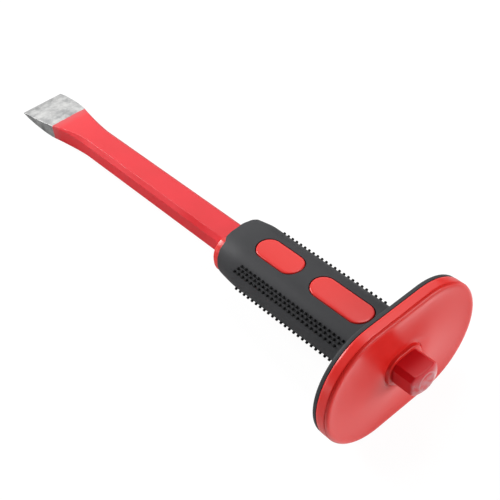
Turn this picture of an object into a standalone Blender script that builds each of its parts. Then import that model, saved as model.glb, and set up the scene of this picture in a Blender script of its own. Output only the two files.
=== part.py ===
"""Flat cold chisel with a two-material hand guard: a forged bar, a hard guard moulding and a soft grip.

The struck face is at the origin, the bar runs back along -X to the cutting edge, and the broad faces look up and down Z.
Lengths along the bar are written as distances from the cutting edge.
"""

import math

import bmesh
import bpy

MM = 0.001

# Whole tool
OVERALL_LENGTH = 300 * MM
FIT_GAP = 0.3 * MM

# Blade
EDGE_WIDTH = 26 * MM
EDGE_LAND = 0.2 * MM
BEVEL_LENGTH = 6 * MM
BEVEL_THICKNESS = 3.0 * MM
BARE_LENGTH = 30 * MM
BARE_END_WIDTH = 22.7 * MM
FLARE_END = 58 * MM
THICKNESS_TAPER_END = 58 * MM
EDGE_RUN_POWER = 3
FLARE_POWER = 1.7

# Shank, a flattened octagon
SHANK_WIDTH = 16 * MM
SHANK_THICKNESS = 12 * MM
SHANK_CHAMFER = 2.2 * MM
CHAMFER_START = 18 * MM
EASED_EDGE = 0.35 * MM
MOST_CHAMFER_SHARE = 0.9

# Struck end, turned to a shallow cone round a flat face
STRIKING_FACE_RADIUS = 4.7 * MM
CROWN_SLOPE = 0.42

# Grip, an oval squarer than an ellipse, whose nose tapers towards the blade
GRIP_LENGTH = 100.8 * MM
GRIP_WIDTH = 34.6 * MM
GRIP_HEIGHT = 27.2 * MM
GRIP_SQUARENESS = 2.4
GRIP_NOSE_LENGTH = 15 * MM
GRIP_NOSE_DROP = 1.6 * MM
NOSE_POWER = 1.5
RUBBER_THICKNESS = 2.2 * MM
RUBBER_EDGE_ROUND = 0.6 * MM
CORE_LIP_LENGTH = 1.8 * MM
CORE_LIP_STEP = 0.15 * MM
CORE_EDGE_BREAK = 0.4 * MM
ROOT_FILLET = 1.6 * MM

# Hand plate
PLATE_LENGTH = 92 * MM
PLATE_HEIGHT = 61 * MM
HEAD_STANDOUT = 13.2 * MM
PLATE_EDGE = 6.0 * MM
PLATE_EDGE_RADIUS = 0.7 * MM
BACKING_THICKNESS = 2.0 * MM
BACKING_EDGE_ROUND = 0.4 * MM
BACKING_INSET = 0.1 * MM
FACE_DISH = 0.8 * MM
# Profile of the dish: share of its depth, and share of the plate's half height in from the rim
DISH_PROFILE = ((0.3, 0.11), (0.8, 0.25), (1.0, 0.39))
DISH_SHARE_AT_COLLAR = 0.2
COLLAR_WALL = 2.4 * MM
COLLAR_ROUNDNESS = 2.5 * MM
COLLAR_GROOVE = 1.2 * MM
GROOVE_DEPTH = 0.5 * MM
COLLAR_HEIGHT = 1.0 * MM

# Raised panels that show through the rubber: distances of their two ends from the grip's front
PANEL_SPANS = ((16.8 * MM, 44.3 * MM), (52.8 * MM, 87.8 * MM))
PANEL_WIDTH = 12.8 * MM
PANEL_PROUD = 0.1 * MM
PANEL_EDGE_BREAK = 0.5 * MM
PANEL_DEPTH = 6 * MM
PANEL_GAP = 0.45 * MM

# Places that follow from the sizes above, as distances from the cutting edge
PLATE_FRONT = OVERALL_LENGTH - HEAD_STANDOUT
PLATE_BACK = PLATE_FRONT - PLATE_EDGE
GRIP_START = PLATE_BACK - GRIP_LENGTH
CORE_INSET = RUBBER_THICKNESS + FIT_GAP
NOSE_STOPS = [GRIP_START + GRIP_NOSE_LENGTH * share for share in (0, 0.1, 0.25, 0.4, 0.6, 0.8, 1)]
CUT_MARGIN = 5 * MM

AROUND = 64


def clear_scene():
    for old in list(bpy.data.objects):
        bpy.data.objects.remove(old, do_unlink=True)


def along(distance):
    """X of a point this far from the cutting edge."""
    return distance - OVERALL_LENGTH


def mix(low, high, share):
    return low + (high - low) * share


def mesh_object(name, bm, smooth=True):
    bmesh.ops.recalc_face_normals(bm, faces=bm.faces)
    for face in bm.faces:
        face.smooth = smooth
    mesh = bpy.data.meshes.new(name)
    bm.to_mesh(mesh)
    bm.free()
    made = bpy.data.objects.new(name, mesh)
    bpy.context.scene.collection.objects.link(made)
    return made


def add_material(part, name, colour, roughness, metallic=0.0, coat=0.0):
    material = bpy.data.materials.new(name)
    material.use_nodes = True
    shader = material.node_tree.nodes["Principled BSDF"]
    shader.inputs["Base Color"].default_value = (*colour, 1.0)
    shader.inputs["Roughness"].default_value = roughness
    shader.inputs["Metallic"].default_value = metallic
    shader.inputs["Coat Weight"].default_value = coat
    part.data.materials.append(material)


def add_ring(bm, x, points):
    return [bm.verts.new((x, y, z)) for y, z in points]


def bridge(bm, first, second):
    count = len(first)
    for i in range(count):
        j = (i + 1) % count
        bm.faces.new((first[i], first[j], second[j], second[i]))


def loft(sections, closed=False):
    """A mesh through (x, points) sections: capped at both ends, or joined end to start when closed."""
    bm = bmesh.new()
    rings = [add_ring(bm, x, points) for x, points in sections]
    for first, second in zip(rings, rings[1:]):
        bridge(bm, first, second)
    if closed:
        bridge(bm, rings[-1], rings[0])
    else:
        bm.faces.new(rings[0])
        bm.faces.new(list(reversed(rings[-1])))
    return bm


def oval(half_width, half_height):
    turns = [math.tau * (i + 0.5) / AROUND for i in range(AROUND)]
    return [(half_width * math.cos(t), half_height * math.sin(t)) for t in turns]


def squared_oval(half_width, half_height):
    """A superellipse, flatter on its top and sides than an ellipse."""
    points = []
    for cosine, sine in oval(1, 1):
        y = math.copysign(half_width * abs(cosine) ** (2 / GRIP_SQUARENESS), cosine)
        z = math.copysign(half_height * abs(sine) ** (2 / GRIP_SQUARENESS), sine)
        points.append((y, z))
    return points


def rounded_box(half_width, half_height, radius):
    """Ring with round corners; a radius equal to the half height makes an obround."""
    points = []
    for i in range(AROUND):
        turn = math.tau * (i + 0.5) / AROUND
        y = math.copysign(half_width - radius, math.cos(turn)) + radius * math.cos(turn)
        z = math.copysign(half_height - radius, math.sin(turn)) + radius * math.sin(turn)
        points.append((y, z))
    return points


def octagon(half_width, half_height, chamfer):
    w, h, c = half_width, half_height, chamfer
    return [(w, h - c), (w - c, h), (c - w, h), (-w, h - c), (-w, c - h), (c - w, -h), (w - c, -h), (w, c - h)]


# The bar's outline as functions of the distance from the cutting edge

def bar_half_width(distance):
    if distance <= BARE_LENGTH:
        return mix(EDGE_WIDTH, BARE_END_WIDTH, (distance / BARE_LENGTH) ** EDGE_RUN_POWER) / 2
    if distance <= FLARE_END:
        left = 1 - (distance - BARE_LENGTH) / (FLARE_END - BARE_LENGTH)
        return mix(SHANK_WIDTH, BARE_END_WIDTH, left ** FLARE_POWER) / 2
    return SHANK_WIDTH / 2


def bar_half_thickness(distance):
    if distance <= BEVEL_LENGTH:
        return mix(EDGE_LAND, BEVEL_THICKNESS, distance / BEVEL_LENGTH) / 2
    share = min(1, (distance - BEVEL_LENGTH) / (THICKNESS_TAPER_END - BEVEL_LENGTH))
    return mix(BEVEL_THICKNESS, SHANK_THICKNESS, math.sin(share * math.pi / 2)) / 2


def bar_chamfer(distance):
    share = min(1, max(0, (distance - CHAMFER_START) / (FLARE_END - CHAMFER_START)))
    return min(mix(EASED_EDGE, SHANK_CHAMFER, share), MOST_CHAMFER_SHARE * bar_half_thickness(distance))


def bar_section(distance, gap=0.0):
    return octagon(
        bar_half_width(distance) + gap,
        bar_half_thickness(distance) + gap,
        bar_chamfer(distance) + gap * (2 - math.sqrt(2)),
    )


def make_bar():
    stops = [0, 0.5 * BEVEL_LENGTH, BEVEL_LENGTH]
    stops += [mix(BEVEL_LENGTH, BARE_LENGTH, i / 5) for i in range(1, 6)]
    stops += [mix(BARE_LENGTH, FLARE_END, i / 12) for i in range(1, 13)]
    stops += [OVERALL_LENGTH + CUT_MARGIN]
    bar = mesh_object("chisel_bar", loft([(along(s), bar_section(s)) for s in stops]), smooth=False)

    # The crown: a turned envelope keeps only what lies inside its cone and flat face
    reach = SHANK_WIDTH
    cone_start = along(OVERALL_LENGTH) - (reach - STRIKING_FACE_RADIUS) * CROWN_SLOPE
    envelope_sections = [
        (along(-CUT_MARGIN), oval(2 * reach, 2 * reach)),
        (cone_start - reach * CROWN_SLOPE, oval(2 * reach, 2 * reach)),
        (along(OVERALL_LENGTH), oval(STRIKING_FACE_RADIUS, STRIKING_FACE_RADIUS)),
    ]
    envelope = mesh_object("crown_envelope", loft(envelope_sections))
    cut(bar, envelope, "INTERSECT")
    add_material(bar, "bar_paint", (0.62, 0.03, 0.04), 0.3, coat=0.6)
    return bar


def cut(part, cutter, operation="DIFFERENCE"):
    cutter.hide_render = True
    cutter.display_type = "WIRE"
    step = part.modifiers.new(cutter.name, "BOOLEAN")
    step.operation = operation
    step.solver = "EXACT"
    step.object = cutter


# The grip's outside as functions of the distance from the cutting edge

def grip_inset(distance):
    """How far the grip's surface lies inside its full section, over the rounded nose."""
    left = min(1, max(0, 1 - (distance - GRIP_START) / GRIP_NOSE_LENGTH))
    return GRIP_NOSE_DROP * left ** NOSE_POWER


def grip_section(distance, inset=0.0):
    drop = grip_inset(distance) + inset
    return squared_oval(GRIP_WIDTH / 2 - drop, GRIP_HEIGHT / 2 - drop)


def plate_ring(inset):
    half_height = PLATE_HEIGHT / 2 - inset
    return rounded_box(PLATE_LENGTH / 2 - inset, half_height, half_height)


def collar_ring(grow):
    """Ring that keeps the same distance from the shank all the way round."""
    corner = SHANK_CHAMFER + COLLAR_WALL + COLLAR_ROUNDNESS
    return rounded_box(
        SHANK_WIDTH / 2 + COLLAR_WALL + grow,
        SHANK_THICKNESS / 2 + COLLAR_WALL + grow,
        corner + grow,
    )


def make_core():
    lip_start = GRIP_START - CORE_LIP_LENGTH
    lip_end = GRIP_START - FIT_GAP
    sections = [(along(lip_start), grip_section(GRIP_START, CORE_LIP_STEP + CORE_EDGE_BREAK))]
    sections.append((along(lip_start + CORE_EDGE_BREAK), grip_section(GRIP_START, CORE_LIP_STEP)))
    sections.append((along(lip_end), grip_section(GRIP_START, CORE_LIP_STEP)))
    sections.append((along(lip_end), grip_section(GRIP_START, CORE_INSET)))
    sections += [(along(s), grip_section(s, CORE_INSET)) for s in NOSE_STOPS]
    sections.append((along(PLATE_BACK - CORE_EDGE_BREAK), grip_section(PLATE_BACK, CORE_INSET)))
    sections.append((along(PLATE_BACK), grip_section(PLATE_BACK, CORE_INSET - CORE_EDGE_BREAK)))

    # The plate: flat back, rounded edges, a dished face, and the collar standing in a shallow groove
    r = PLATE_EDGE_RADIUS
    sections.append((along(PLATE_BACK), plate_ring(0.5 * r)))
    sections.append((along(PLATE_BACK + 0.15 * r), plate_ring(0.15 * r)))
    sections.append((along(PLATE_BACK + 0.5 * r), plate_ring(0)))
    for turn in (0, 22.5, 45, 67.5, 90):
        angle = math.radians(turn)
        sections.append((along(PLATE_FRONT - r * (1 - math.sin(angle))), plate_ring(r * (1 - math.cos(angle)))))
    trough = PLATE_FRONT - FACE_DISH
    for depth_share, inset_share in DISH_PROFILE:
        x = along(mix(PLATE_FRONT, trough, depth_share))
        sections.append((x, plate_ring(inset_share * PLATE_HEIGHT / 2)))
    face_at_collar = mix(PLATE_FRONT, trough, DISH_SHARE_AT_COLLAR)
    groove_floor = face_at_collar - GROOVE_DEPTH
    sections.append((along(face_at_collar), collar_ring(COLLAR_GROOVE)))
    sections.append((along(groove_floor), collar_ring(0.6 * COLLAR_GROOVE)))
    sections.append((along(groove_floor), collar_ring(0.2 * COLLAR_GROOVE)))
    collar_top = face_at_collar + COLLAR_HEIGHT
    sections.append((along(collar_top - 0.4 * COLLAR_HEIGHT), collar_ring(0)))
    sections.append((along(collar_top - 0.1 * COLLAR_HEIGHT), collar_ring(-0.12 * COLLAR_WALL)))
    sections.append((along(collar_top), collar_ring(-0.33 * COLLAR_WALL)))
    core = mesh_object("guard_core", loft(sections))

    panels = mesh_object("panel_blanks", panel_mesh(0, panel_top() - PANEL_DEPTH, panel_top(), PANEL_EDGE_BREAK))
    cut(core, panels, "UNION")
    stops = [lip_start - CUT_MARGIN, PLATE_FRONT + COLLAR_HEIGHT + CUT_MARGIN]
    hole = mesh_object("shank_hole", loft([(along(s), bar_section(s, FIT_GAP)) for s in stops]))
    cut(core, hole)
    add_material(core, "core_plastic", (0.72, 0.03, 0.03), 0.35)
    return core


def panel_top():
    return GRIP_HEIGHT / 2 + PANEL_PROUD


def obround_plan(span, grow):
    """Plan outline of one panel, in X and Y."""
    radius = PANEL_WIDTH / 2
    middle = along(GRIP_START) + (span[0] + span[1]) / 2
    half_run = (span[1] - span[0]) / 2 - radius
    points = []
    for i in range(AROUND // 2):
        turn = math.tau * (i + 0.5) / (AROUND // 2)
        x = middle + math.copysign(half_run, math.cos(turn)) + (radius + grow) * math.cos(turn)
        points.append((x, (radius + grow) * math.sin(turn)))
    return points


def panel_mesh(grow, low, high, edge_break):
    """Obround blocks above and below the grip, one for each panel, with their outer edges broken."""
    bm = bmesh.new()
    for span in PANEL_SPANS:
        for side in (1, -1):
            levels = [(low, grow), (high - edge_break, grow)]
            if edge_break:
                levels.append((high - 0.3 * edge_break, grow - 0.3 * edge_break))
                levels.append((high, grow - edge_break))
            rings = []
            for z, spread in levels:
                rings.append([bm.verts.new((x, y, side * z)) for x, y in obround_plan(span, spread)])
            for first, second in zip(rings, rings[1:]):
                bridge(bm, first, second)
            bm.faces.new(rings[0])
            bm.faces.new(list(reversed(rings[-1])))
    return bm


def make_grip():
    backing_front = PLATE_BACK - FIT_GAP - BACKING_THICKNESS
    backing_back = PLATE_BACK - FIT_GAP
    f = ROOT_FILLET
    sections = [(along(GRIP_START), grip_section(GRIP_START, RUBBER_EDGE_ROUND))]
    sections += [(along(s), grip_section(s)) for s in NOSE_STOPS[1:]]
    for turn in (0, 30, 60, 90):
        angle = math.radians(turn)
        x = backing_front - f * (1 - math.sin(angle))
        sections.append((along(x), grip_section(x, -f * (1 - math.cos(angle)))))
    sections.append((along(backing_front), plate_ring(BACKING_INSET + BACKING_EDGE_ROUND)))
    sections.append((along(backing_front + BACKING_EDGE_ROUND), plate_ring(BACKING_INSET)))
    sections.append((along(backing_back), plate_ring(BACKING_INSET)))
    inner_break = 2 * CORE_EDGE_BREAK
    sections.append((along(backing_back), grip_section(backing_back, RUBBER_THICKNESS - inner_break)))
    sections.append((along(backing_back - inner_break), grip_section(backing_back, RUBBER_THICKNESS)))
    sections += [(along(s), grip_section(s, RUBBER_THICKNESS)) for s in reversed(NOSE_STOPS)]
    grip = mesh_object("soft_grip", loft(sections, closed=True))
    windows = mesh_object("window_cutters", panel_mesh(PANEL_GAP, panel_top() - PANEL_DEPTH, panel_top() + CUT_MARGIN, 0))
    cut(grip, windows)
    add_material(grip, "grip_rubber", (0.035, 0.036, 0.04), 0.6)
    return grip


clear_scene()
make_bar()
make_core()
make_grip()
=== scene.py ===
import math

import bmesh
import bpy
from mathutils import Matrix, Vector


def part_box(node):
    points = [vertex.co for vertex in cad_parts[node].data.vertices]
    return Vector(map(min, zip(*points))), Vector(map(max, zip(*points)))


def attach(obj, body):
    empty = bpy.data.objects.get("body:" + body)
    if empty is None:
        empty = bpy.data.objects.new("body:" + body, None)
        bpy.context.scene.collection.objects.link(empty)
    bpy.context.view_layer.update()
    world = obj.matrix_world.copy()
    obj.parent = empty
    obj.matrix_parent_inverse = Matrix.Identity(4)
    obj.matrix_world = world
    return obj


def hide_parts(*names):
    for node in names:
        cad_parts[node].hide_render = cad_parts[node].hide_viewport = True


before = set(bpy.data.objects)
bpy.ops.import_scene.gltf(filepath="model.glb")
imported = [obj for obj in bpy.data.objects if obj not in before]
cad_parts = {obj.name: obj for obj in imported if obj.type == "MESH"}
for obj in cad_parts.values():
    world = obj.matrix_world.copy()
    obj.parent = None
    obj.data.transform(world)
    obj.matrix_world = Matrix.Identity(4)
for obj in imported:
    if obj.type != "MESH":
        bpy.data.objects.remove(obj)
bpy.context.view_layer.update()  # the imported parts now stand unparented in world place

MM = 0.001

# ---------------------------------------------------------------------------------------------
# Chisel bar: one forging of tool steel, octagonal in the shank and drawn out wide and thin to
# the blade. The whole bar is enamelled red, then the blade is ground bare.
# ---------------------------------------------------------------------------------------------

bar_low, bar_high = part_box("chisel_bar")
edge_x = bar_low.x
edge_width = bar_high.y - bar_low.y
edge_thickness = 0.25 * MM
grind_length = 6 * MM
grind_thickness = 3 * MM
bare_length = 30 * MM
flare_width = 22.7 * MM
flare_end = 58 * MM
shank_width = 16 * MM
shank_thickness = bar_high.z - bar_low.z
shank_chamfer = 2.2 * MM
shank_ease = 0.12 * MM
chamfer_start = 26 * MM
blade_chamfer = 0.05 * MM
blade_ease = 0.04 * MM
struck_face_radius = 4.7 * MM
crown_slope = 0.42
paint_line_blur = 0.15 * MM
paint_line_waver = 1.6 * MM
thin_paint_start = 0.2 * MM
thin_paint_run = 7 * MM
worn_from = bar_high.x - 2.3 * MM
deep_enamel, bright_enamel = (0.76, 0.012, 0.020), (0.82, 0.016, 0.028)
thin_enamel = (0.68, 0.07, 0.08)
rubbed_enamel = (0.68, 0.29, 0.31)
# The rim colour is a painted highlight along the struck face's edge
rim_highlight_enamel = (0.75, 0.44, 0.46)
dark_steel, light_steel = (0.32, 0.325, 0.33), (0.66, 0.66, 0.65)


def mix(low, high, share):
    return low + (high - low) * share


def clamp(value, low=0.0, high=1.0):
    return max(low, min(high, value))


def evenly(start, end, count):
    """Places from start to end, count steps apart, both ends included."""
    return [mix(start, end, k / count) for k in range(count + 1)]


def bar_half_width(run):
    """Half the bar's width this far from the cutting edge, where it is widest."""
    if run <= bare_length:
        return mix(edge_width, flare_width, (run / bare_length) ** 3) / 2
    left = clamp(1 - (run - bare_length) / (flare_end - bare_length))
    return mix(shank_width, flare_width, left ** 1.7) / 2


def bar_half_thickness(run):
    """Half the bar's thickness this far from the cutting edge: a ground wedge, then a swell to the shank."""
    if run <= grind_length:
        return mix(edge_thickness, grind_thickness, run / grind_length) / 2
    share = clamp((run - grind_length) / (flare_end - grind_length))
    return mix(grind_thickness, shank_thickness, math.sin(share * math.pi / 2)) / 2


def along_flare(run):
    return clamp((run - chamfer_start) / (flare_end - chamfer_start))


def bar_chamfer(run):
    """The corners are crisp on the ground blade and open out into the shank's chamfers along the flare."""
    return min(mix(blade_chamfer, shank_chamfer, along_flare(run)), 0.9 * bar_half_thickness(run))


def bar_ease(run):
    return mix(blade_ease, shank_ease, along_flare(run))


def eased_octagon(half_width, half_height, chamfer, ease, on_arc=4):
    """An octagon as (y, z) points, each corner an arc, with points close beside it to hold the flats flat."""
    w, h = half_width, half_height
    inner_w, inner_h = w - chamfer, h - chamfer
    corners = [(w, -inner_h), (w, inner_h), (inner_w, h), (-inner_w, h)]
    corners = [Vector(corner) for corner in corners]
    corners += [-corner for corner in corners]
    arcs = []
    for i, corner in enumerate(corners):
        back = corners[i - 1] - corner
        ahead = corners[(i + 1) % 8] - corner
        reach = min(ease, 0.45 * back.length, 0.45 * ahead.length)
        start = corner + back.normalized() * reach
        end = corner + ahead.normalized() * reach
        shares = evenly(0, 1, on_arc)
        arcs.append([start * (1 - t) ** 2 + corner * 2 * t * (1 - t) + end * t ** 2 for t in shares])
    points = []
    for i, arc in enumerate(arcs):
        next_start = arcs[(i + 1) % 8][0]
        beside = min(0.1, 0.12 * MM / (next_start - arc[-1]).length)
        points += arc
        points += [arc[-1].lerp(next_start, share) for share in (beside, 0.25, 0.5, 0.75, 1 - beside)]
    return [(p.x, p.y) for p in points]


def rolled_sheet(rings, round_again=False):
    """A sheet rolled into a tube through rings of points and welded, or bent round into a closed ring."""
    around, count = len(rings[0]), len(rings)
    bm = bmesh.new()
    bmesh.ops.create_grid(bm, x_segments=around, y_segments=count if round_again else count - 1, size=1)
    bm.verts.ensure_lookup_table()
    for i, vert in enumerate(bm.verts):
        row, place = divmod(i, around + 1)
        vert.co = rings[row % count][place % around]
    bmesh.ops.remove_doubles(bm, verts=bm.verts, dist=1e-6)
    return bm


def close_ends(bm):
    bmesh.ops.holes_fill(bm, edges=[e for e in bm.edges if e.is_boundary], sides=0)


def finish_piece(bm, name, material, stands_for, crisp):
    """Makes the mesh a named piece of the tool, sharp where its faces turn by more than crisp degrees."""
    bmesh.ops.recalc_face_normals(bm, faces=bm.faces)
    for edge in bm.edges:
        edge.smooth = len(edge.link_faces) == 2 and edge.calc_face_angle(0) < math.radians(crisp)
    for face in bm.faces:
        face.smooth = True
    mesh = bpy.data.meshes.new(name)
    bm.to_mesh(mesh)
    bm.free()
    piece = bpy.data.objects.new(name, mesh)
    bpy.context.scene.collection.objects.link(piece)
    mesh.materials.append(material)
    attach(piece, "root")
    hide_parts(stands_for)
    return piece


def node(tree, kind, links=None, **settings):
    """Adds a node; links gives its inputs as numbers, colours or other nodes' outputs."""
    made = tree.nodes.new("ShaderNode" + kind)
    for key, value in settings.items():
        setattr(made, key, value)
    for key, value in (links or {}).items():
        if isinstance(value, bpy.types.NodeSocket):
            tree.links.new(value, made.inputs[key])
        else:
            made.inputs[key].default_value = value
    return made


def noise(tree, place, scale, detail, roughness=0.5):
    links = {"Vector": place, "Scale": scale, "Detail": detail, "Roughness": roughness}
    return node(tree, "TexNoise", links).outputs[0]


def carried(tree, value, low=0.0, high=1.0, to_low=0.0, to_high=1.0, smooth=False):
    """The value carried from low..high to to_low..to_high and held at the ends."""
    links = {"Value": value, "From Min": low, "From Max": high, "To Min": to_low, "To Max": to_high}
    kind = "SMOOTHSTEP" if smooth else "LINEAR"
    return node(tree, "MapRange", links, interpolation_type=kind).outputs[0]


def math_node(tree, operation, a, b=0.0):
    return node(tree, "Math", {0: a, 1: b}, operation=operation).outputs[0]


def colour_mix(tree, share, a, b):
    """Colour a turning to b as share goes from 0 to 1."""
    made = tree.nodes.new("ShaderNodeMix")
    made.data_type = "RGBA"
    for key, value in ((0, share), (6, a), (7, b)):
        if isinstance(value, bpy.types.NodeSocket):
            tree.links.new(value, made.inputs[key])
        else:
            made.inputs[key].default_value = value if key == 0 else (*value, 1.0)
    return made.outputs[2]


def mottle_group():
    """Slow cloudy change from place to place, and fine specks, both from 0 to 1."""
    group = bpy.data.node_groups.new("mottle", "ShaderNodeTree")
    for label, value in (("Cloud Scale", 40), ("Speck Scale", 900)):
        socket = group.interface.new_socket(label, in_out="INPUT", socket_type="NodeSocketFloat")
        socket.default_value = value
    for label in ("Cloud", "Speck"):
        group.interface.new_socket(label, in_out="OUTPUT", socket_type="NodeSocketFloat")
    scales = group.nodes.new("NodeGroupInput").outputs
    results = group.nodes.new("NodeGroupOutput").inputs
    place = node(group, "TexCoord").outputs["Object"]
    cloud = noise(group, place, scales["Cloud Scale"], 4, 0.55)
    speck = noise(group, place, scales["Speck Scale"], 3, 0.6)
    for made, label in ((cloud, "Cloud"), (speck, "Speck")):
        group.links.new(carried(group, made, 0.2, 0.8, smooth=True), results[label])
    return group


mottle = mottle_group()


def add_mottle(tree, cloud_scale, speck_scale):
    made = tree.nodes.new("ShaderNodeGroup")
    made.node_tree = mottle
    made.inputs["Cloud Scale"].default_value = cloud_scale
    made.inputs["Speck Scale"].default_value = speck_scale
    return made.outputs


def new_material(name):
    material = bpy.data.materials.new(name)
    material.use_nodes = True
    tree = material.node_tree
    return material, tree, tree.nodes["Principled BSDF"]


def feed(tree, shader, **sockets):
    for key, value in sockets.items():
        tree.links.new(value, shader.inputs[key.replace("_", " ")])


def add_relief(tree, shader, height, strength, distance):
    bump = node(tree, "Bump", {"Height": height, "Strength": strength, "Distance": distance})
    feed(tree, shader, Normal=bump.outputs[0])


def bar_enamel_and_steel():
    """Red enamel from the paint line to the struck end, and bare ground steel on the blade."""
    material, tree, shader = new_material("red_enamel_and_ground_steel")
    place = node(tree, "TexCoord").outputs["Object"]
    split = node(tree, "SeparateXYZ", {0: place}).outputs
    cloud = add_mottle(tree, 55, 1400)["Cloud"]

    # How far this point is past the end of the bare blade, with a slightly uneven paint line
    waver = math_node(tree, "SUBTRACT", noise(tree, place, 260, 2), 0.5)
    waver = math_node(tree, "MULTIPLY", waver, paint_line_waver)
    past = math_node(tree, "ADD", math_node(tree, "SUBTRACT", split["X"], edge_x + bare_length), waver)
    paint = carried(tree, past, -paint_line_blur, paint_line_blur)
    full_paint = carried(tree, past, thin_paint_start, thin_paint_run)
    red = colour_mix(tree, cloud, deep_enamel, bright_enamel)
    red = colour_mix(tree, full_paint, thin_enamel, red)

    # The crown and the struck face are scuffed: the paint is rubbed pale, more so low down
    crown = carried(tree, split["X"], worn_from, bar_high.x - 0.9 * MM, smooth=True)
    scraped = carried(tree, noise(tree, place, 380, 5, 0.6), 0.25, 0.6, smooth=True)
    lower_down = carried(tree, split["Z"], 1.5 * MM, 5 * MM, 1.0, 0.15)
    rubbed = math_node(tree, "MULTIPLY", math_node(tree, "MULTIPLY", crown, scraped), lower_down)
    red = colour_mix(tree, math_node(tree, "MULTIPLY", rubbed, 0.8), red, rubbed_enamel)

    # The rim between the struck face and the cone is painted palest, a painted highlight along that edge
    across = node(tree, "CombineXYZ", {"Y": split["Y"], "Z": split["Z"]}).outputs[0]
    radius = node(tree, "VectorMath", {0: across}, operation="LENGTH").outputs["Value"]
    off_rim = math_node(tree, "ABSOLUTE", math_node(tree, "SUBTRACT", radius, struck_face_radius))
    rim = carried(tree, off_rim, 0.15 * MM, 0.55 * MM, 0.5, 0.0)
    at_end = carried(tree, split["X"], bar_high.x - 1 * MM, bar_high.x - 0.6 * MM)
    red = colour_mix(tree, math_node(tree, "MULTIPLY", rim, at_end), red, rim_highlight_enamel)

    blotch = noise(tree, place, 170, 5, 0.65)
    patches = carried(tree, blotch, 0.25, 0.7, smooth=True)
    steel = colour_mix(tree, patches, dark_steel, light_steel)
    steel_rough = carried(tree, blotch, to_low=0.36, to_high=0.54)
    paint_rough = carried(tree, cloud, to_low=0.32, to_high=0.42)
    rough = node(tree, "Mix", {0: paint, 2: steel_rough, 3: paint_rough}).outputs[0]
    feed(tree, shader, Base_Color=colour_mix(tree, paint, steel, red), Roughness=rough)
    feed(tree, shader, Metallic=math_node(tree, "SUBTRACT", 1.0, paint))
    feed(tree, shader, Coat_Weight=math_node(tree, "MULTIPLY", paint, 0.1))
    shader.inputs["Coat Roughness"].default_value = 0.12
    shader.inputs["Specular IOR Level"].default_value = 0.34

    # Cross-grain of the grinding wheel on the blade, and orange peel in the enamel
    stretched = node(tree, "Mapping", {"Vector": place, "Scale": (4200, 160, 160)}).outputs[0]
    grain, peel = noise(tree, stretched, 1, 2), noise(tree, place, 420, 2)
    height = node(tree, "Mix", {0: paint, 2: grain, 3: peel}).outputs[0]
    add_relief(tree, shader, height, 0.12, 0.06 * MM)
    return material


# Rings at these runs from the cutting edge, close together where the outline bends
grind_runs = (0, 1.5, 3, 4.5, 6)
blade_runs = (6.6, 8, 10, 12.5, 15, 18, 21, 24, 27, 30)
flare_runs = (31, 33, 35, 37.5, 40, 42.5, 45, 47.5, 50, 52.5, 55, 58)
shank_runs = (62, 120, 200, 280)
bar_rings = []
for run_mm in grind_runs + blade_runs + flare_runs + shank_runs:
    run = run_mm * MM
    outline = eased_octagon(bar_half_width(run), bar_half_thickness(run), bar_chamfer(run), bar_ease(run))
    bar_rings.append([(edge_x + run, y, z) for y, z in outline])
shank_outline = eased_octagon(shank_width / 2, shank_thickness / 2, shank_chamfer, shank_ease)


def crown_ring(reach_in):
    """A ring on the turned cone, reach_in of the way from the octagon's outline to the struck face."""
    points = []
    for y, z in shank_outline:
        full_radius = math.hypot(y, z)
        radius = mix(full_radius, struck_face_radius, reach_in)
        x = bar_high.x - (radius - struck_face_radius) * crown_slope
        points.append((x, y * radius / full_radius, z * radius / full_radius))
    return points


def shoulder_ring(behind, draw_in):
    """The crown's outer edge, moved back along the bar by behind and drawn in towards the bar's middle."""
    points = []
    for x, y, z in crown_ring(0):
        shrink = 1 - draw_in / math.hypot(y, z)
        points.append((x - behind, y * shrink, z * shrink))
    return points


def struck_face_ring(radius, sunk=0.0):
    return [(bar_high.x - sunk, *(Vector(point).normalized() * radius)) for point in shank_outline]


# The last of the shank, its eased shoulder, the cone, and the flat struck face with its eased rim
for behind, draw_in in ((6, 0), (2.4, 0), (0.9, 0), (0.45, 0), (0.2, 0.05), (0.08, 0.14)):
    bar_rings.append(shoulder_ring(behind * MM, draw_in * MM))
for reach_in in (0.08, 0.16, 0.4, 0.7, 0.9, 0.96):
    bar_rings.append(crown_ring(reach_in))
bar_rings.append(struck_face_ring(struck_face_radius, sunk=0.03 * MM))
for inside in (0.15, 1.7, 3.2):
    bar_rings.append(struck_face_ring(struck_face_radius - inside * MM))
bar_mesh = rolled_sheet(bar_rings)
close_ends(bar_mesh)
finish_piece(bar_mesh, "chisel_forging", bar_enamel_and_steel(), "chisel_bar", crisp=30)

# ---------------------------------------------------------------------------------------------
# Guard moulding: one hard, glossy red plastic moulding driven on to the shank. It has the oval
# hand plate with a collar round the hole, the core of the grip and its front lip.
# ---------------------------------------------------------------------------------------------

core_low, core_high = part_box("guard_core")
plate_length = core_high.y - core_low.y
plate_height = core_high.z - core_low.z
plate_edge = 6 * MM
head_stands_out = 13.2 * MM
plate_front = bar_high.x - head_stands_out
plate_back = plate_front - plate_edge
lip_width = 3.2 * MM
dish_depth = 0.8 * MM
dish_lip = 0.15 * MM
grip_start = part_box("soft_grip")[0].x
grip_width = 34.6 * MM
grip_height = 27.2 * MM
squareness = 2.4
nose_length = 15 * MM
nose_drop = 1.6 * MM
rubber_thickness = 2.2 * MM
core_inset = rubber_thickness + 0.3 * MM
front_lip_start = grip_start - 1.75 * MM
front_lip_sinks = 1.3 * MM
front_lip_round = (0.7 * MM, 0.9 * MM)
lip_shows_near, lip_shows_far = 0.36, 0.80
lip_fade = 0.2
collar_wall = 2.4 * MM
collar_corner = 2.5 * MM
deep_red, bright_red = (0.80, 0.018, 0.014), (0.86, 0.024, 0.018)
points_around = 160
turns = [math.tau * (i + 0.5) / points_around for i in range(points_around)]


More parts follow.
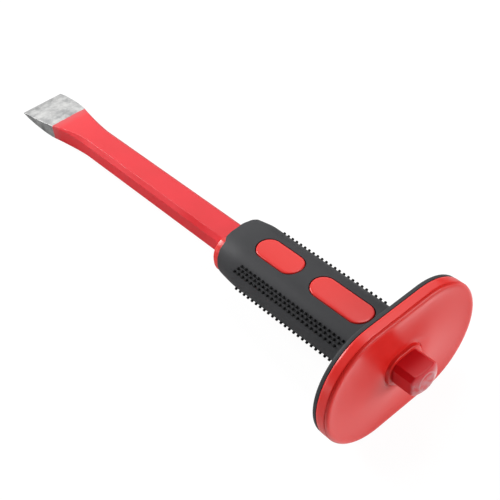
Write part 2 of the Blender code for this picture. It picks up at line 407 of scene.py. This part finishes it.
def grip_point(t, inset):
    """The y and z of the squared oval at turn t, this far inside the grip's full section."""
    half_width, half_height = grip_width / 2 - inset, grip_height / 2 - inset
    y = math.copysign(half_width * abs(math.cos(t)) ** (2 / squareness), math.cos(t))
    z = math.copysign(half_height * abs(math.sin(t)) ** (2 / squareness), math.sin(t))
    return y, z


def nose_taper(x):
    """How far the grip's surface lies inside its full section, over the rounded nose."""
    left = clamp(1 - (x - grip_start) / nose_length)
    return nose_drop * left ** 1.5


def grip_ring(x, inset):
    return [(x, *grip_point(t, nose_taper(x) + inset)) for t in turns]


def obround_ring(x, half_width, half_height, radius):
    points = []
    for t in turns:
        y = math.copysign(half_width - radius, math.cos(t)) + radius * math.cos(t)
        z = math.copysign(half_height - radius, math.sin(t)) + radius * math.sin(t)
        points.append((x, y, z))
    return points


def plate_ring(x, inset):
    half_height = plate_height / 2 - inset
    return obround_ring(x, plate_length / 2 - inset, half_height, half_height)


def collar_ring(x, grow):
    """A ring round the hole, grown by this much from the collar's outer wall."""
    wall = collar_wall + grow
    half_width, half_height = shank_width / 2 + wall, shank_thickness / 2 + wall
    return obround_ring(x, half_width, half_height, shank_chamfer + wall + collar_corner)


def lip_shows(t):
    """1 where the rubber is cut back and the red front lip shows, 0 where rubber covers it, at turn t.

    It shows all along the side at -Y, and only low down on the side at +Y.
    """
    if math.cos(t) < 0:
        share = clamp((-math.cos(t) - lip_shows_near) / lip_fade)
    else:
        share = clamp((math.cos(t + math.radians(35)) - lip_shows_far) / lip_fade)
    return share * share * (3 - 2 * share)


def front_lip_ring(x, inset):
    """A ring of the core's front lip, which sinks back under the rubber where the rubber covers it."""
    points = []
    for t in turns:
        sunk = front_lip_sinks * (1 - lip_shows(t))
        points.append((x + 0.5 * sunk, *grip_point(t, nose_drop + inset + sunk)))
    return points


def gloss_plastic():
    """Hard red plastic, glossy, with the slow flow marks and faint ripple of a moulding."""
    material, tree, shader = new_material("red_gloss_plastic")
    place = node(tree, "TexCoord").outputs["Object"]
    flow = noise(tree, place, 34, 0)
    red = colour_mix(tree, flow, deep_red, bright_red)
    feed(tree, shader, Base_Color=red, Roughness=carried(tree, flow, to_low=0.28, to_high=0.36))
    shader.inputs["Specular IOR Level"].default_value = 0.42
    add_relief(tree, shader, noise(tree, place, 110, 1, 0.4), 0.06, 0.2 * MM)
    return material


plastic = gloss_plastic()

# The front lip, rounded at its outer edge, and the stretch where it goes in under the rubber
core_rings = [front_lip_ring(front_lip_start + 0.05 * MM, 3.2 * MM)]
for turn in (0, 25, 50, 70, 90):
    a = math.radians(turn)
    rise, draw_in = front_lip_round[0] * (1 - math.cos(a)), front_lip_round[1] * (1 - math.sin(a))
    core_rings.append(front_lip_ring(front_lip_start + rise, 0.12 * MM + draw_in))
for back, inset in ((0.8 * MM, 0.06 * MM), (2.6 * MM, 0.0), (2.9 * MM, core_inset - 1.0 * MM)):
    core_rings.append(front_lip_ring(grip_start + back, inset))

# The core sleeve under the rubber
for back in (4.5 * MM, 0.45 * nose_length, 0.6 * nose_length, 0.8 * nose_length, nose_length):
    core_rings.append(grip_ring(grip_start + back, core_inset))
core_rings.append(grip_ring(plate_back, core_inset))

# The plate's rim: an eased back corner, a shadow line, and a rounded front lip
back_corner = ((0, 0.35), (0.05, 0.12), (0.25, 0))
plain_rim = ((1.2, 0), (2.6, 0), (4.0, 0), (4.55, 0))
shadow_line = ((4.66, 0.06), (4.72, 0.26), (4.78, 0.34), (4.86, 0.34), (4.92, 0.24), (4.98, 0.18))
rim_lip = ((5.2, 0.24), (5.5, 0.46), (5.8, 0.78), (5.95, 1.2), (6.0, 1.7), (5.97, 2.4), (5.85, 3.2))
for x, inset in back_corner + plain_rim + shadow_line + rim_lip:
    core_rings.append(plate_ring(plate_back + x * MM, inset * MM))

# The plate's face is dished between the lip and the collar
dish_outer = plate_ring(plate_front, lip_width)
dish_inner = collar_ring(plate_front, 1.6 * MM)
for share in (0.1, 0.2, 0.35, 0.5, 0.65, 0.8, 0.9):
    sunk = dish_lip + (dish_depth - dish_lip) * math.sin(math.pi * min(1, share * 1.15)) ** 0.8
    ring = []
    for outer, inner in zip(dish_outer, dish_inner):
        ring.append((plate_front - sunk, mix(outer[1], inner[1], share), mix(outer[2], inner[2], share)))
    core_rings.append(ring)

# A gutter round the collar, the collar's rounded edge, and the hole over the shank
face_x = plate_front - 0.16 * MM
gutter = ((0.0, 1.3), (-0.05, 1.0), (-0.35, 0.85), (-0.5, 0.6), (-0.45, 0.3), (-0.1, 0.1))
collar_edge = ((0.5, 0.0), (0.85, -0.08), (1.08, -0.3), (1.2, -0.65))
collar_hole = ((1.2, -1.9), (0.9, -2.2), (-5.0, -2.2))
for x, grow in gutter + collar_edge + collar_hole:
    core_rings.append(collar_ring(face_x + x * MM, grow * MM))
core_mesh = rolled_sheet(core_rings)
close_ends(core_mesh)
finish_piece(core_mesh, "guard_moulding", plastic, "guard_core", crisp=40)

# ---------------------------------------------------------------------------------------------
# Soft grip: one black rubber moulding bonded over the core. It is open round the four panels
# and runs out at the back as a thin backing on the front of the plate.
# ---------------------------------------------------------------------------------------------

panel_width = 12.8 * MM
panel_spans = ((16.8 * MM, 44.3 * MM), (52.8 * MM, 87.8 * MM))
panel_crown = 0.12 * MM
window_gap = 0.45 * MM
backing_back = plate_back - 0.3 * MM
backing_front = backing_back - 2.0 * MM
fillet = 1.6 * MM
edge_run = 0.4 * MM
wavy_run = 5 * MM
window_foot = grip_height / 2 - 4.5 * MM
window_reach = 8 * MM
deep_black, bloomed_black = (0.036, 0.037, 0.040), (0.048, 0.048, 0.052)


def grip_rubber():
    """Matt black rubber with a faint bloom and a fine skin."""
    material, tree, shader = new_material("black_grip_rubber")
    bloom = add_mottle(tree, 60, 1500)
    black = colour_mix(tree, bloom["Cloud"], deep_black, bloomed_black)
    feed(tree, shader, Base_Color=black, Roughness=carried(tree, bloom["Cloud"], to_low=0.5, to_high=0.62))
    shader.inputs["Specular IOR Level"].default_value = 0.25
    add_relief(tree, shader, bloom["Speck"], 0.15, 0.04 * MM)
    return material


def front_edge(t):
    """How far back the rubber's front edge lies at turn t: forward where it covers the lip, and uneven."""
    uneven = 0.12 * MM * math.sin(7 * t + 1) + 0.09 * MM * math.sin(17 * t)
    return -0.5 * MM + 2.3 * MM * lip_shows(t) + uneven


def rubber_taper(x, t):
    """The nose's taper at turn t. The rubber is fuller on one upper shoulder, and swells a little there."""
    full = clamp(math.cos(t - math.radians(38))) ** 3
    swell = 0.6 * MM * clamp(1 - abs(x - grip_start - 9 * MM) / (11 * MM))
    return nose_taper(max(x, grip_start)) * (1 - 0.3 * full) - swell * full


def nose_ring(back, inset=0.0, wavy=0.0):
    """A ring of the nose, which follows the uneven front edge when wavy is 1 and is square when it is 0."""
    points = []
    for t in turns:
        x = grip_start + back + wavy * front_edge(t)
        points.append((x, *grip_point(t, rubber_taper(x, t) + inset)))
    return points


grip_rings = []
rounded_edge = ((0.5, 1.3), (0.12, 0.85), (0, 0.6), (0.05, 0.35), (0.18, 0.12), (0.4, 0.02))
for back, inset in rounded_edge:
    grip_rings.append(nose_ring(back * MM, inset * MM, wavy=1))
for share in (0.95, 0.85, 0.7, 0.5, 0.3, 0.1, 0.0):
    grip_rings.append(nose_ring(mix(edge_run, wavy_run, 1 - share), wavy=share))
for share in (0.45, 0.55, 0.7, 0.85, 1, 1.15, 1.3):
    grip_rings.append(nose_ring(nose_length * share))
fillet_start = backing_front - fillet
for x in evenly(grip_start + 1.4 * nose_length, fillet_start, 60)[1:]:
    grip_rings.append(grip_ring(x, 0))
for turn in (18, 36, 54, 72, 90):
    a = math.radians(turn)
    grip_rings.append(grip_ring(fillet_start + fillet * math.sin(a), -fillet * (1 - math.cos(a))))
backing_edge = ((0, 0.9), (0.05, 0.55), (0.2, 0.28), (0.5, 0.15), (1.2, 0.12), (2.0, 0.12))
for x, inset in backing_edge:
    grip_rings.append(plate_ring(backing_front + x * MM, inset * MM))
for x in (backing_back, grip_start + nose_length, grip_start + 5.5 * MM):
    grip_rings.append(grip_ring(x, rubber_thickness))
grip_rings.append(nose_ring(1.6 * MM, 1.6 * MM, wavy=1))
grip_mesh = rolled_sheet(grip_rings, round_again=True)
grip = finish_piece(grip_mesh, "rubber_grip", grip_rubber(), "soft_grip", crisp=50)


def panel_outline(span, grow, count=64):
    """Plan of one panel in x and y, its points spread evenly by angle about the obround's ends."""
    radius = panel_width / 2 + grow
    middle = grip_start + (span[0] + span[1]) / 2
    half_run = (span[1] - span[0] - panel_width) / 2
    points = []
    for i in range(count):
        t = math.tau * (i + 0.5) / count
        x = middle + math.copysign(half_run, math.cos(t)) + radius * math.cos(t)
        points.append((x, radius * math.sin(t)))
    return points


def panel_face(y):
    """Height of a panel's face at y, a little flatter than the grip's own curve."""
    return grip_height / 2 + panel_crown - 0.35 * MM * (y / (panel_width / 2)) ** 2


def panel_blocks(foot, foot_grow, levels):
    """Blocks at the four panels' places, each from a flat foot through levels that follow its face."""
    blocks = bmesh.new()
    for span in panel_spans:
        for side in (1, -1):
            rings = [[(x, y, side * foot) for x, y in panel_outline(span, foot_grow)]]
            for rise, grow in levels:
                rings.append([(x, y, side * (panel_face(y) + rise)) for x, y in panel_outline(span, grow)])
            block = rolled_sheet(rings)
            close_ends(block)
            bmesh.ops.recalc_face_normals(block, faces=block.faces)
            block_mesh = bpy.data.meshes.new("panel_block")
            block.to_mesh(block_mesh)
            block.free()
            blocks.from_mesh(block_mesh)
            bpy.data.meshes.remove(block_mesh)
    return blocks


# The windows: a block a little larger than each panel is cut out of the rubber
windows = panel_blocks(window_foot, window_gap, [(window_reach, window_gap)])
window_mesh = bpy.data.meshes.new("window_cutter")
windows.to_mesh(window_mesh)
windows.free()
cutter = bpy.data.objects.new("window_cutter", window_mesh)
bpy.context.scene.collection.objects.link(cutter)
cut = grip.modifiers.new("windows", "BOOLEAN")
cut.operation = "DIFFERENCE"
cut.solver = "EXACT"
cut.object = cutter
bpy.context.view_layer.update()
cut_mesh = bpy.data.meshes.new_from_object(grip.evaluated_get(bpy.context.evaluated_depsgraph_get()))
grip.modifiers.clear()
grip.data = cut_mesh
bpy.data.objects.remove(cutter)

# ---------------------------------------------------------------------------------------------
# Grip panels: raised obround faces of the same red moulding as the plate, two above and two
# below, standing up from the core through the windows in the rubber, with eased edges.
# ---------------------------------------------------------------------------------------------

panel_foot = grip_height / 2 - 5 * MM
# Each level's drop below the face and how far it is drawn in: the eased edge, then the face
eased_edge = ((0.6, 0), (0.28, 0.08), (0.08, 0.28), (0, 0.6))
panel_top = tuple((0, inside) for inside in (1.5, 2.5, 3.5, 4.5, 5.5))
panel_levels = [(-drop * MM, -inside * MM) for drop, inside in eased_edge + panel_top]
panels = panel_blocks(panel_foot, 0, panel_levels)
finish_piece(panels, "grip_panels", plastic, "guard_core", crisp=40)

# ---------------------------------------------------------------------------------------------
# Pegs: short rubber studs moulded with the grip, in three staggered rows on one shoulder of
# each half and a single row on the other. They are the grip's own rubber, coloured darker as painted shade.
# ---------------------------------------------------------------------------------------------

peg_radius = 0.76 * MM
peg_top_radius = 0.64 * MM
peg_length = 1.6 * MM
peg_height = 1.05 * MM
peg_pitch = 2.86 * MM
pegs_in_row = 24
# The pegs' blacks are the grip's rubber painted darker: painted shade on the studs
peg_shaded_blacks = ((0.006, 0.006, 0.007), (0.010, 0.010, 0.011))
# Each row's turn up from the side, in degrees, and how far its first peg is from the grip's front
peg_rows = ((38.5, 19.3 * MM), (30.5, 17.9 * MM), (20.5, 16.2 * MM), (-25, 15.2 * MM))


def peg_rubber():
    """Matt black rubber, a little rougher than the grip's, and coloured darker than it as painted shade."""
    material, tree, shader = new_material("black_peg_rubber")
    bloom = add_mottle(tree, 60, 1500)
    black = colour_mix(tree, bloom["Cloud"], *peg_shaded_blacks)
    feed(tree, shader, Base_Color=black, Roughness=carried(tree, bloom["Speck"], to_low=0.6, to_high=0.75))
    shader.inputs["Specular IOR Level"].default_value = 0.25
    return material


def one_peg():
    """A stud standing along Z about its middle, a little narrower at the top, with the top edge rounded."""
    peg = bmesh.new()
    sizes = dict(radius1=peg_radius, radius2=peg_top_radius, depth=peg_length)
    bmesh.ops.create_cone(peg, cap_ends=True, segments=12, **sizes)
    top_edges = [e for e in peg.edges if all(v.co.z > 0 for v in e.verts)]
    rounding = dict(offset=0.34 * MM, segments=2, profile=0.5, affect="EDGES", material=-1)
    bmesh.ops.bevel(peg, geom=top_edges, **rounding)
    mesh = bpy.data.meshes.new("peg")
    peg.to_mesh(mesh)
    peg.free()
    return mesh


def peg_stance(t):
    """Where a peg's foot stands on the grip's section at turn t, and the way out of the rubber there."""
    foot = Vector((0, *grip_point(t, 0)))
    along = Vector(grip_point(t - 0.01, 0)) - Vector(grip_point(t + 0.01, 0))
    out = Vector((0, -along.y, along.x)).normalized()
    return foot, out if out.dot(foot) > 0 else -out


peg_mesh = one_peg()
pegs = bmesh.new()
for half in (1, -1):
    for angle, first in peg_rows:
        foot, out = peg_stance(math.radians(180 - angle))
        middle = half * (foot + out * (peg_height - peg_length / 2))
        turned = (half * out).to_track_quat("Z", "X").to_matrix().to_4x4()
        for k in range(pegs_in_row):
            place = middle + Vector((grip_start + first + k * peg_pitch, 0, 0))
            before = len(pegs.verts)
            pegs.from_mesh(peg_mesh)
            pegs.verts.ensure_lookup_table()
            bmesh.ops.transform(pegs, matrix=Matrix.Translation(place) @ turned, verts=pegs.verts[before:])
bpy.data.meshes.remove(peg_mesh)
finish_piece(pegs, "grip_pegs", peg_rubber(), "soft_grip", crisp=60)

# ---------------------------------------------------------------------------------------------
# Studio: a white table that the tool lies on, five soft boxes round it, and the camera.
# ---------------------------------------------------------------------------------------------

table_size = 6
table_clearance = 0.3 * MM
blade_above_table = 1.2 * MM
camera_heading = 48.761
table_tone = (0.82, 0.82, 0.82)
reflected_tone = (0.68, 0.68, 0.68)
reflected_by_bar = (0.38, 0.38, 0.38)
seen_tone = (0.10, 0.10, 0.10)

table_mesh = bpy.data.meshes.new("floor")
bm = bmesh.new()
bmesh.ops.create_grid(bm, x_segments=2, y_segments=2, size=table_size)
# The tool lies on its plate's edge and its cutting edge, so the table slopes up towards the blade
contact = Vector((plate_front, 0, core_low.z))
slope = math.atan2(-core_low.z - blade_above_table, contact.x - edge_x)
bmesh.ops.rotate(bm, cent=(0, 0, 0), matrix=Matrix.Rotation(slope, 3, "Y"), verts=bm.verts)
bmesh.ops.translate(bm, vec=contact - Vector((0, 0, table_clearance)), verts=bm.verts)
bm.to_mesh(table_mesh)
bm.free()
table = bpy.data.objects.new("floor", table_mesh)
bpy.context.scene.collection.objects.link(table)


def white_table():
    """A table that glows white to the camera, is clear from below, and reflects darkest beside the bar."""
    material, tree, shader = new_material("white_sweep")
    rays = node(tree, "LightPath").outputs
    seen, mirrored = rays["Is Camera Ray"], rays["Is Glossy Ray"]
    geometry = node(tree, "NewGeometry").outputs
    x = node(tree, "SeparateXYZ", {0: geometry["Position"]}).outputs["X"]
    by_grip = carried(tree, x, -155 * MM, -115 * MM)
    reflected = colour_mix(tree, by_grip, reflected_by_bar, reflected_tone)
    lit = colour_mix(tree, mirrored, table_tone, reflected)
    feed(tree, shader, Base_Color=colour_mix(tree, seen, lit, seen_tone))
    shader.inputs["Roughness"].default_value = 0.9
    shader.inputs["Specular IOR Level"].default_value = 0.0
    shader.inputs["Emission Color"].default_value = (1, 1, 1, 1)

    # A bright patch below the struck end, for reflections only
    near_head = carried(tree, x, plate_back, -8 * MM)
    past_head = carried(tree, x, -3 * MM, 14 * MM, 1.0, 0.15)
    patch = math_node(tree, "MULTIPLY", mirrored, math_node(tree, "MULTIPLY", near_head, past_head))
    patch = math_node(tree, "MULTIPLY", patch, 1.2)
    glow = math_node(tree, "ADD", math_node(tree, "MULTIPLY", seen, 0.95), patch)
    feed(tree, shader, Emission_Strength=glow)
    feed(tree, shader, Alpha=math_node(tree, "SUBTRACT", 1.0, geometry["Backfacing"]))
    return material


table_mesh.materials.append(white_table())

world = bpy.data.worlds.new("studio")
bpy.context.scene.world = world
world.use_nodes = True
sky = world.node_tree.nodes["Background"]
sky.inputs["Color"].default_value = (1, 1, 1, 1)
seen = node(world.node_tree, "LightPath").outputs["Is Camera Ray"]
world.node_tree.links.new(carried(world.node_tree, seen, to_low=0.11, to_high=1.0), sky.inputs["Strength"])


def soft_box(name, heading, height, far, size, power):
    """A rectangular soft box aimed at the grip. Its heading turns anticlockwise from the camera's right."""
    light = bpy.data.lights.new(name, "AREA")
    light.shape = "RECTANGLE"
    light.size, light.size_y = size
    light.energy = power
    lamp = bpy.data.objects.new(name, light)
    turn, rise = math.radians(camera_heading + heading), math.radians(height)
    aim = Vector((-0.12, 0, 0))
    away = Vector((math.cos(turn) * math.cos(rise), math.sin(turn) * math.cos(rise), math.sin(rise)))
    lamp.location = aim + far * away
    lamp.rotation_euler = (-away).to_track_quat("-Z", "Y").to_euler()
    bpy.context.scene.collection.objects.link(lamp)


soft_box("key_box", 150, 31, 1.2, (0.4, 0.4), 12)
soft_box("back_box", 90, 34, 1.3, (1.2, 1.1), 5.5)
soft_box("top_box", 72, 68, 1.2, (0.35, 0.35), 3.6)
soft_box("left_box", 185, 4, 1.2, (0.7, 0.3), 3.0)
soft_box("right_box", -20, 15, 1.2, (0.9, 0.7), 7.8)

camera_data = bpy.data.cameras.new("camera")
camera_data.lens = 72
camera_data.sensor_width = 36
camera = bpy.data.objects.new("camera", camera_data)
camera.location = (0.17048, -0.20896, 0.33050)
camera.rotation_euler = [math.radians(angle) for angle in (46.7666, 5.0831, camera_heading)]
bpy.context.scene.collection.objects.link(camera)
bpy.context.scene.camera = camera

bpy.context.scene.view_settings.view_transform = "Standard"
